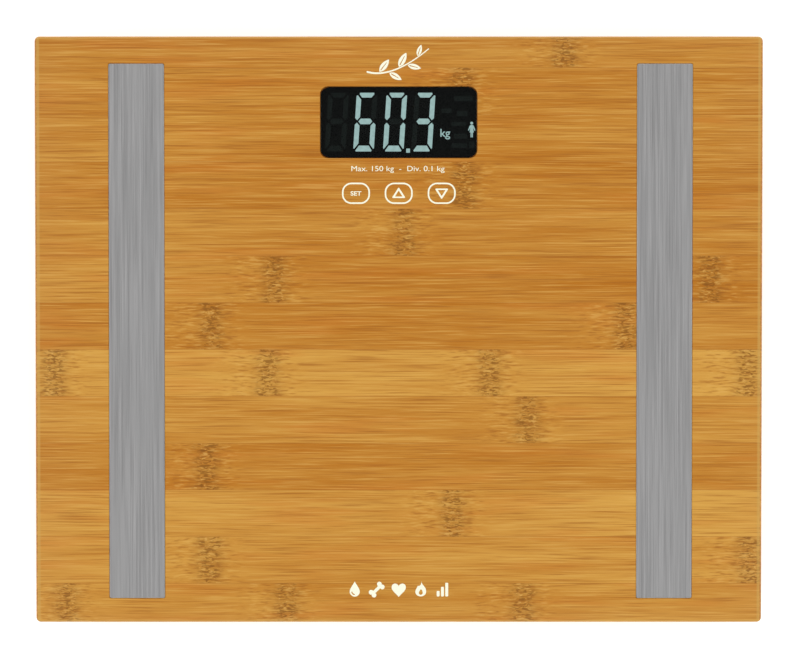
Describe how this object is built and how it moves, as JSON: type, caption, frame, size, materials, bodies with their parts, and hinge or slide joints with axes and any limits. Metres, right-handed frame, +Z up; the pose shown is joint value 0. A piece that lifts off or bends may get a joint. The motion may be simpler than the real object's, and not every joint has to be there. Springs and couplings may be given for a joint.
{
  "type": "bathroom scale",
  "caption": "Flat electronic bathroom scale: bamboo platform with steel electrode strips, a display window and touch keys, on load-cell feet, with a battery door in its underside.",
  "frame": {"origin": "on the floor under the middle of the platform", "axes": "+X to the user's right, along the platform's long side; +Y away from the user, to the display side; +Z up"},
  "size_m": [0.31, 0.25, 0.023],
  "materials": {
    "bamboo": "satin lacquer over side-pressed carbonised bamboo",
    "brushed_electrode": "fine brushed along its length",
    "smoked_lens": "smoked acrylic, polished",
    "foam_tape": "closed-cell foam",
    "lcd_glass": "dark polarised glass",
    "display_glow": "lit display segment",
    "key_print": "screen-printed ink",
    "diffuser": "frosted light guide",
    "rubber": "matt",
    "white_plastic": "fine texture",
    "black_plastic": "fine spark texture",
    "button_plastic": "satin",
    "circuit_board": "green solder mask",
    "chip": "moulded epoxy",
    "spring_steel": "bright nickel",
    "load_cell_steel": "stamped, nickel plated",
    "zinc_screw": "zinc plated",
    "battery_wrap": "printed foil sleeve",
    "grey_sheath": "PVC insulation",
    "red_sheath": "PVC insulation",
    "black_sheath": "PVC insulation",
    "glue": "hot-melt glue"
  },
  "bodies": {
    "platform": {"bamboo_platform": "bamboo", "electrode_left": "brushed_electrode", "electrode_right": "brushed_electrode", "display_lens": "smoked_lens", "lens_tape_front": "foam_tape", "lens_tape_back": "foam_tape", "lcd_glass": "lcd_glass", "lcd_backlight": "diffuser", "lcd_zebra_strip": "rubber", "lcd_frame": "white_plastic", "main_pcb": "circuit_board", "controller_chip": "chip", "touch_spring_left": "spring_steel", "touch_spring_middle": "spring_steel", "touch_spring_right": "spring_steel", "tact_switch": "chip", "bottom_housing": "black_plastic", "battery_front": "battery_wrap", "battery_back": "battery_wrap", "battery_contact_positive": "spring_steel", "battery_contact_negative": "spring_steel", "battery_link": "spring_steel", "battery_lead_positive": "red_sheath", "battery_lead_negative": "black_sheath", "housing_screw_1": "zinc_screw", "housing_screw_2": "zinc_screw", "housing_screw_3": "zinc_screw", "housing_screw_4": "zinc_screw", "foot_housing_front_left": "black_plastic", "foot_housing_front_right": "black_plastic", "foot_housing_back_left": "black_plastic", "foot_housing_back_right": "black_plastic", "load_cell_front_left": "load_cell_steel", "load_cell_front_right": "load_cell_steel", "load_cell_back_left": "load_cell_steel", "load_cell_back_right": "load_cell_steel", "foot_screw_front_left_inner": "zinc_screw", "foot_screw_front_left_outer": "zinc_screw", "foot_screw_front_right_inner": "zinc_screw", "foot_screw_front_right_outer": "zinc_screw", "foot_screw_back_left_inner": "zinc_screw", "foot_screw_back_left_outer": "zinc_screw", "foot_screw_back_right_inner": "zinc_screw", "foot_screw_back_right_outer": "zinc_screw", "load_cell_cable_front_left": "grey_sheath", "load_cell_cable_front_right": "grey_sheath", "load_cell_cable_back_left": "grey_sheath", "load_cell_cable_back_right": "grey_sheath", "electrode_lead_left": "black_sheath", "electrode_lead_right": "black_sheath"},
    "foot_front_left": {"foot_cup_front_left": "black_plastic", "foot_pad_front_left": "rubber"},
    "foot_front_right": {"foot_cup_front_right": "black_plastic", "foot_pad_front_right": "rubber"},
    "foot_back_left": {"foot_cup_back_left": "black_plastic", "foot_pad_back_left": "rubber"},
    "foot_back_right": {"foot_cup_back_right": "black_plastic", "foot_pad_back_right": "rubber"},
    "battery_door": {"battery_door": "black_plastic"},
    "unit_button": {"unit_button": "button_plastic"}
  },
  "joints": [
    {"name": "foot_front_left_load", "type": "slide", "parent": "platform", "child": "foot_front_left", "axis": [0, 0, 1], "range_m": [0, 0.0006], "stiffness_N_per_m": 5000, "springref_m": -0.001, "deforming": ["load_cell_front_left"]},
    {"name": "foot_front_right_load", "type": "slide", "parent": "platform", "child": "foot_front_right", "axis": [0, 0, 1], "range_m": [0, 0.0006], "stiffness_N_per_m": 5000, "springref_m": -0.001, "deforming": ["load_cell_front_right"]},
    {"name": "foot_back_left_load", "type": "slide", "parent": "platform", "child": "foot_back_left", "axis": [0, 0, 1], "range_m": [0, 0.0006], "stiffness_N_per_m": 5000, "springref_m": -0.001, "deforming": ["load_cell_back_left"]},
    {"name": "foot_back_right_load", "type": "slide", "parent": "platform", "child": "foot_back_right", "axis": [0, 0, 1], "range_m": [0, 0.0006], "stiffness_N_per_m": 5000, "springref_m": -0.001, "deforming": ["load_cell_back_right"]},
    {"name": "battery_door_hinge", "type": "hinge", "parent": "platform", "child": "battery_door", "pos_m": [0, 0.0003, 0.0056], "axis": [-1, 0, 0], "range_deg": [0, 75]},
    {"name": "unit_button_press", "type": "slide", "parent": "platform", "child": "unit_button", "axis": [0, 0, 1], "range_m": [0, 0.0005], "stiffness_N_per_m": 3000, "springref_m": -0.0002}
  ]
}
